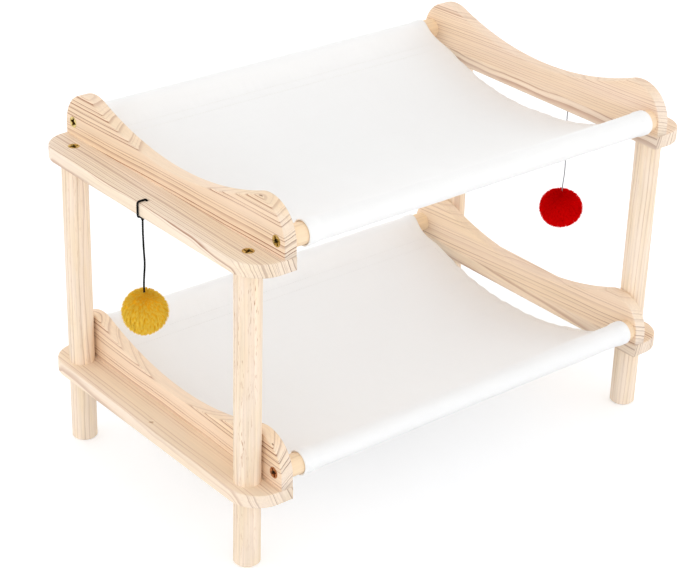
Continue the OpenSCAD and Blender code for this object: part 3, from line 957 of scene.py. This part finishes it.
def screw_shape(length):
    """(points, faces) of a screw whose head is at the origin and faces up."""
    profile = [
        (SCREW_R - HEAD_EDGE, 0.0), (SCREW_R, -HEAD_EDGE), (SCREW_SHANK_R, SCREW_SHANK_R - SCREW_R),
        (SCREW_SHANK_R, SCREW_TIP_L - length),
    ]
    points, faces = lathe(profile, SCREW_SIDES)
    tip = len(points)
    points.append((0.0, 0.0, -length))
    faces += fan_faces(range(tip - SCREW_SIDES, tip), tip)
    top = len(points)
    points += cross_ring(*RECESS_TOP) + cross_ring(*RECESS_LOW)
    arms = (len(points) - top) // 2
    faces += ring_faces(2, arms, top)
    faces.append(tuple(range(top + arms, top + 2 * arms)))
    faces += fill_faces(points, range(SCREW_SIDES), range(top, top + arms))
    return np.array(points), faces


def make_screws(node, places, face_way, length, material):
    """Screws with their heads at the places. face_way turns a screw that faces up."""
    points, faces = screw_shape(length)
    parts = []
    for count, place in enumerate(places):
        spin = FIRST_SPIN + SPIN_STEP * count
        turned = points.copy()
        turned[:, 0] = math.cos(spin) * points[:, 0] - math.sin(spin) * points[:, 1]
        turned[:, 1] = math.sin(spin) * points[:, 0] + math.cos(spin) * points[:, 1]
        parts.append((face_way(turned, place) + np.array(place), faces))
    piece = mesh_piece(f"{node}_metal", parts, material, "frame")
    turn_faces_out(piece.data)
    piece.data.set_sharp_from_angle(angle=SHARP_EDGE)
    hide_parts(node)


def face_out(points, place):
    """Away from the object's middle, along X."""
    side = math.copysign(1, place[0])
    return np.stack([side * points[:, 2], points[:, 1], -side * points[:, 0]], axis=1)


def face_up(points, place):
    return points


def face_down(points, place):
    return points * (1, -1, -1)


def at_four(x, y, z):
    """A place at both ends of both sides."""
    return [(side * x, end * y, z) for side in SIDES.values() for end in ENDS.values()]


YELLOW_ZINC = plated("yellow_zinc", srgb(228, 206, 136), srgb(178, 146, 76), 0.22)
DULL_ZINC = plated("dull_zinc", srgb(220, 168, 120), srgb(168, 100, 66), 0.3)
STEEL = plated("steel", srgb(190, 192, 196), srgb(140, 142, 148), 0.35)
ROD_ZINC = {"upper": YELLOW_ZINC, "lower": DULL_ZINC}
dress("leg_studs", STEEL)
for tier in TIERS:
    rod = middle(f"{tier}_rod_back")
    rod_places = at_four(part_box(f"{tier}_panel_right")[1].x, rod[1], rod[2])
    make_screws(f"{tier}_rod_screws", rod_places, face_out, ROD_SCREW_L, ROD_ZINC[tier])
    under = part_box(f"{tier}_board_right")[0].z
    panel_places = at_four(middle(f"{tier}_panel_right")[0], panel_screw_y(tier), under)
    make_screws(f"{tier}_panel_screws", panel_places, face_down, PANEL_SCREW_L, YELLOW_ZINC)
leg = middle("upper_leg_back_right")
leg_places = at_four(leg[0], leg[1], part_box("upper_board_right")[1].z)
make_screws("leg_top_screws", leg_places, face_up, LEG_SCREW_L, YELLOW_ZINC)


# Slings: canvas wrapped round two rods, sewn back on itself, with turned hems at the sides

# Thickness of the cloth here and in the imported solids, and the height of one layer on another
CLOTH_T = 0.8 * MM
PACKED_CLOTH_T = 1 * MM
LAYER = CLOTH_T + 0.1 * MM
SLEEVE_PLAY = 0.25 * MM
SEAM_W = 15 * MM
# How far from a rod's middle its sleeve starts, in radii of the sleeve
NECK_REACH = 1.9
ROW_STEP = 2.2 * MM
BED_COLUMNS = 104
HEM_W = 8 * MM
HEM_STEPS = 5
FOLD_STEPS = 3
# A hem's columns: its turned part, the fold and the part above
HEM_COLUMNS = 2 * HEM_STEPS + FOLD_STEPS
# The kink at a seam is smoothed over this length, in so many rounds
SEAM_SOFT = 6 * MM
SEAM_ROUNDS = 10
# Lines of stitches, as distances into the bed; a stitch's spacing, the share that shows, and its thread
SEAM_LINES = (3 * MM, 12 * MM)
STITCH = 3.2 * MM
STITCH_SHARE = 0.72
THREAD = 0.4 * MM
# Rings of a stitch: place along it, width, and height in threads
STITCH_RINGS = ((0.0, 0.5, -0.6), (0.22, 1.0, 0.35), (0.78, 1.0, 0.35), (1.0, 0.5, -0.6))
STITCH_SIDES = 5


def smoothstep(value, low, high):
    t = np.clip((value - low) / (high - low), 0, 1)
    return t * t * (3 - 2 * t)


def bump(value, width):
    """1 where a value is 0, falling off smoothly to both sides."""
    return np.exp(-((value / width) ** 2))


def ripples(u, v, u_length, v_length, seed, count=9):
    """Smooth seeded waves of about the given lengths, mostly from -1 to 1."""
    draw = np.random.default_rng(seed)
    total = np.zeros(np.broadcast(u, v).shape)
    for _ in range(count):
        along_u, along_v = draw.normal(0, 0.7, 2)
        phase = u * along_u / u_length + v * along_v / v_length
        total += np.cos(math.tau * phase + draw.uniform(0, math.tau))
    return total / math.sqrt(2 * count)


def half_profile(rod_y, rod_z, rod_r, sag, meet):
    """(Y, Z) points from the sewn-down edge under the seam, round the front rod, to the sling's middle.

    The bed's arc passes a little above the rod's middle, by meet.
    Also gives the distance from the start of the seam to the sling's middle."""
    arc_r = (rod_y**2 + sag**2 - meet**2) / (2 * (sag + meet))
    arc_z = rod_z - sag + arc_r
    slope = math.asin(rod_y / (arc_r + meet))
    wrap_r = rod_r + SLEEVE_PLAY + CLOTH_T / 2
    neck = math.sqrt((NECK_REACH * wrap_r) ** 2 - meet**2)
    rod = np.array((-rod_y, rod_z))

    def on_arc(distance, below=0.0):
        angle = -slope + np.asarray(distance) / arc_r
        return np.stack([(arc_r + below) * np.sin(angle), arc_z - (arc_r + below) * np.cos(angle)], axis=-1)

    ahead = unit(on_arc(neck) - rod)
    above = np.array((-ahead[1], ahead[0]))
    hug = math.acos(wrap_r / np.linalg.norm(on_arc(neck) - rod))
    turn = np.linspace(-hug, hug - math.tau, 60)[:, None]
    wrap = rod + wrap_r * (np.cos(turn) * ahead + np.sin(turn) * above)
    sewn_under = on_arc(np.linspace(neck + SEAM_W, neck, 12), LAYER)
    bed = on_arc(np.linspace(neck, arc_r * slope, 90))
    return np.concatenate([sewn_under, wrap, bed]), arc_r * slope - neck


def sling_line(tier, meet):
    """The (Y, Z) line of a sling's rows from one sewn-down edge to the other.

    Also gives each row's distance along the line and its distance into the bed from the nearer seam."""
    rod_low, rod_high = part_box(f"{tier}_rod_front")
    rod_y = -(rod_low.y + rod_high.y) / 2
    rod_z = (rod_low.z + rod_high.z) / 2
    sag = rod_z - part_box(f"{tier}_sling")[0].z - PACKED_CLOTH_T / 2
    half, bed_l = half_profile(rod_y, rod_z, (rod_high.z - rod_low.z) / 2, sag, meet)
    along = distances(half)
    rows = np.linspace(0, along[-1], math.ceil(along[-1] / ROW_STEP) + 1)
    half = values_at(half, along, rows)
    line = np.concatenate([half, half[-2::-1] * (-1, 1)])
    along = distances(line)
    from_seam = bed_l - np.abs(along - along[-1] / 2)
    soft = bump(from_seam, SEAM_SOFT)[1:-1, None]
    for _ in range(SEAM_ROUNDS):
        line[1:-1] += 0.5 * soft * ((line[:-2] + line[2:]) / 2 - line[1:-1])
    return line, along, from_seam


def hem_columns(low_x, high_x):
    """Columns across a sling: (X, lift off the sheet, flat place), from one turned hem to the other."""
    hem = np.linspace(0, HEM_W, HEM_STEPS)
    fold = np.linspace(0, math.pi, FOLD_STEPS + 2)[1:-1]
    inside = np.linspace(low_x + HEM_W + 2 * MM, high_x - HEM_W - 2 * MM, BED_COLUMNS)
    left = [(low_x + d, -LAYER) for d in hem[::-1]]
    left += [(low_x - LAYER / 2 * math.sin(a), -LAYER / 2 * (1 + math.cos(a))) for a in fold]
    left += [(low_x + d, 0.0) for d in hem]
    right = [(low_x + high_x - x, lift) for x, lift in left[::-1]]
    flat = np.array(left + [(x, 0.0) for x in inside] + right)
    return flat[:, 0], flat[:, 1], distances(flat)


def cloth_waves(x, s, edge, from_seam, seed):
    """How far the cloth's waves lift it, in the bed, at its side edges, at the seams and in the sleeves."""

    def waves(height_mm, across_mm, along_mm, seed_step):
        return height_mm * MM * ripples(x, s, across_mm * MM, along_mm * MM, seed + seed_step)

    patches = 0.5 + 0.5 * ripples(x, s, 120 * MM, 120 * MM, seed + 2)
    bed = waves(1.0, 190, 240, 0) + waves(0.30, 34, 150, 1) * patches
    bed += np.exp(-edge / (18 * MM)) * waves(1.0, 90, 34, 3)
    bed += np.exp(-edge / (14 * MM)) * waves(0.4, 60, 13, 6)
    sleeve = (0.20 * MM + waves(0.20, 40, 40, 5)).clip(0)
    return (
        smoothstep(from_seam, 0, 45 * MM) * bed
        + bump(from_seam, 7 * MM) * waves(0.16, 9, 60, 4)
        + smoothstep(-from_seam, 6 * MM, 20 * MM) * sleeve
    )


def stitch_beads(starts, ends, normals):
    """(points, faces) of short stitches that lie on the cloth and dip into it at both ends."""
    side = unit(np.cross(ends - starts, normals))
    turn = np.arange(STITCH_SIDES) * math.tau / STITCH_SIDES
    points = []
    for share, width, height in STITCH_RINGS:
        centres = starts + (ends - starts) * share + normals * height * THREAD
        points += [centres + THREAD / 2 * width * (math.cos(a) * side + math.sin(a) * normals) for a in turn]
    return np.concatenate(points), repeat_faces(ring_faces(len(STITCH_RINGS), STITCH_SIDES), len(starts))


def sew(surface, normals, lines, first, last):
    """Stitches along some of a grid's lines, from their first point to before the last one."""
    starts, ends, ups = [], [], []
    for number in lines:
        line = surface[number, first:last]
        along = distances(line)
        at = np.arange(STITCH / 2, along[-1] - STITCH, STITCH)
        starts.append(values_at(line, along, at))
        ends.append(values_at(line, along, at + STITCH_SHARE * STITCH))
        ups.append(values_at(normals[number, first:last], along, at))
    return stitch_beads(np.concatenate(starts), np.concatenate(ends), unit(np.concatenate(ups)))


def make_stitches(tier, surface, ups, from_seam):
    """Two rows of stitches along each seam, and one along each side hem of the bed."""
    rows, columns = surface.shape[:2]
    top = surface + ups * CLOTH_T / 2
    front_rows = [int(np.argmin(np.abs(from_seam[:rows // 2] - at))) for at in SEAM_LINES]
    back_rows = [rows // 2 + 1 + int(np.argmin(np.abs(from_seam[rows // 2 + 1:] - at))) for at in SEAM_LINES]
    seams = sew(top, ups, front_rows + back_rows, HEM_COLUMNS, columns - HEM_COLUMNS + 1)
    bed = np.flatnonzero(from_seam > SEAM_LINES[-1])
    hem_lines = (HEM_COLUMNS - 2, columns - HEM_COLUMNS + 1)
    hems = sew(top.transpose(1, 0, 2), ups.transpose(1, 0, 2), hem_lines, bed[0], bed[-1])
    return mesh_piece(f"{tier}_canvas_stitches", [seams, hems], THREAD_COTTON, "frame")


def make_sling(tier, material, seed, meet, pull_front, pull_back):
    """A sling: one sheet on a grid of rows along it and columns across it, and its stitches.

    meet is how far above a rod's middle the bed's arc passes.
    pull_front and pull_back are how far its right edge draws in at the two sleeves."""
    low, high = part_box(f"{tier}_sling")
    line, along, from_seam = sling_line(tier, meet)
    ahead = unit(np.gradient(line, axis=0))
    up = np.stack([-ahead[:, 1], ahead[:, 0]], axis=1)
    column_x, lift, flat_x = hem_columns(low.x, high.x)
    x, s, into_bed = column_x[None, :], along[:, None], from_seam[:, None]
    edge = np.minimum(x - low.x, high.x - x)

    near_hem = smoothstep(HEM_W + 4 * MM - edge, 0, 4 * MM)
    flare = LAYER * smoothstep(-into_bed, 6 * MM, 20 * MM) * near_hem
    offset = cloth_waves(x, s, edge, into_bed, seed) + flare + lift
    drawn = smoothstep(-into_bed, -20 * MM, 25 * MM) * (1 - 0.35 * smoothstep(-into_bed, 10 * MM, 45 * MM))
    pull = np.where(s < along[-1] / 2, pull_front, pull_back) * drawn
    surface = np.empty((len(line), len(column_x), 3))
    surface[..., 0] = x - pull * smoothstep(x, (low.x + high.x) / 2, high.x - HEM_W)
    surface[..., 1:] = line[:, None] + offset[..., None] * up[:, None]

    rows, columns = surface.shape[:2]
    corners = [i * columns + j for i in range(rows - 1) for j in range(columns - 1)]
    faces = [(corner, corner + 1, corner + columns + 1, corner + columns) for corner in corners]
    piece = mesh_piece(f"{tier}_canvas", [(surface.reshape(-1, 3), faces)], material, "frame")
    uv = piece.data.uv_layers.new(name="flat")
    for loop in piece.data.loops:
        row, column = divmod(loop.vertex_index, columns)
        uv.data[loop.index].uv = (flat_x[column], along[row])
    thick = piece.modifiers.new("thickness", "SOLIDIFY")
    thick.thickness = CLOTH_T
    thick.offset = 0

    ups = np.zeros_like(surface)
    ups[..., 1:] = up[:, None]
    stitches = make_stitches(tier, surface, ups, from_seam)
    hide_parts(f"{tier}_sling")


THREAD_COTTON = yarn("cotton_thread", srgb(236, 233, 229), srgb(248, 247, 244))
UPPER_CANVAS = canvas("upper_canvas_cloth", srgb(247, 246, 245))
# The lower canvas is painted whiter than the upper one: painted light against the shade that the upper sling
# casts on it
LOWER_CANVAS_PAINTED_LIGHTER = canvas("lower_canvas_painted_lighter", srgb(252, 250, 247))
make_sling("lower", LOWER_CANVAS_PAINTED_LIGHTER, seed=11, meet=0.5 * MM, pull_front=3.5 * MM, pull_back=11 * MM)
make_sling("upper", UPPER_CANVAS, seed=23, meet=5 * MM, pull_front=3.5 * MM, pull_back=10 * MM)


# Floor, light and world

# The sky's light at the horizon and overhead, as in a tent of white cloth lit from its sides,
# and how much more of it comes from the side that the lean points to
HORIZON = 1.9
ZENITH = 0.52
SKY_LEAN = (0.05, 0.0, 0.0)
FLOOR_SIZE = 12.0
FLOOR_COLOUR = srgb(239, 240, 242)
FLOOR_GLOW = 0.31
# A soft lamp overhead: its level is the light that it adds to a white surface that faces it
LAMP_PLACE = Vector((0.1, 0.7, 2.6))
LAMP_TARGET = Vector((0, 0, 0.18))
LAMP_SIZE = 1.8
LAMP_LEVEL = 0.05


def make_floor():
    white = Finish("floor", roughness=1.0, specular=0.0)
    white.put(white.shader.inputs["Base Color"], FLOOR_COLOUR)
    white.put(white.shader.inputs["Emission Color"], WHITE)
    glow = white.math("MULTIPLY", white.seen_directly(), FLOOR_GLOW)
    white.put(white.shader.inputs["Emission Strength"], glow)
    mesh = bpy.data.meshes.new("floor")
    half = FLOOR_SIZE / 2
    corners = [(-half, -half, 0), (half, -half, 0), (half, half, 0), (-half, half, 0)]
    mesh.from_pydata(corners, [], [(0, 1, 2, 3)])
    mesh.materials.append(white.material)
    floor = add_object("floor", mesh)


def make_world():
    world = bpy.data.worlds.new("studio")
    bpy.context.scene.world = world
    world.use_nodes = True
    sky = Nodes(world.node_tree)
    way = sky.add("TexCoord")
    level = sky.spread(sky.add("SeparateXYZ", way, out=2), HORIZON, ZENITH)
    level = sky.math("MULTIPLY_ADD", level, sky.vector("DOT_PRODUCT", way, SKY_LEAN, out=1), level)
    background = sky.tree.nodes["Background"]
    sky.put(background.inputs["Color"], WHITE)
    sky.put(background.inputs["Strength"], sky.spread(sky.seen_directly(), level, 1.0))


def make_lamp():
    away = LAMP_PLACE - LAMP_TARGET
    data = bpy.data.lights.new("top_softbox", "AREA")
    data.shape = "DISK"
    data.size = LAMP_SIZE
    data.energy = LAMP_LEVEL * math.pi**2 * away.length_squared
    lamp = add_object("top_softbox", data)
    lamp.location = LAMP_PLACE
    lamp.rotation_mode = "QUATERNION"
    lamp.rotation_quaternion = away.to_track_quat("Z", "Y")


make_floor()
make_world()
make_lamp()
bpy.context.scene.view_settings.view_transform = "Standard"
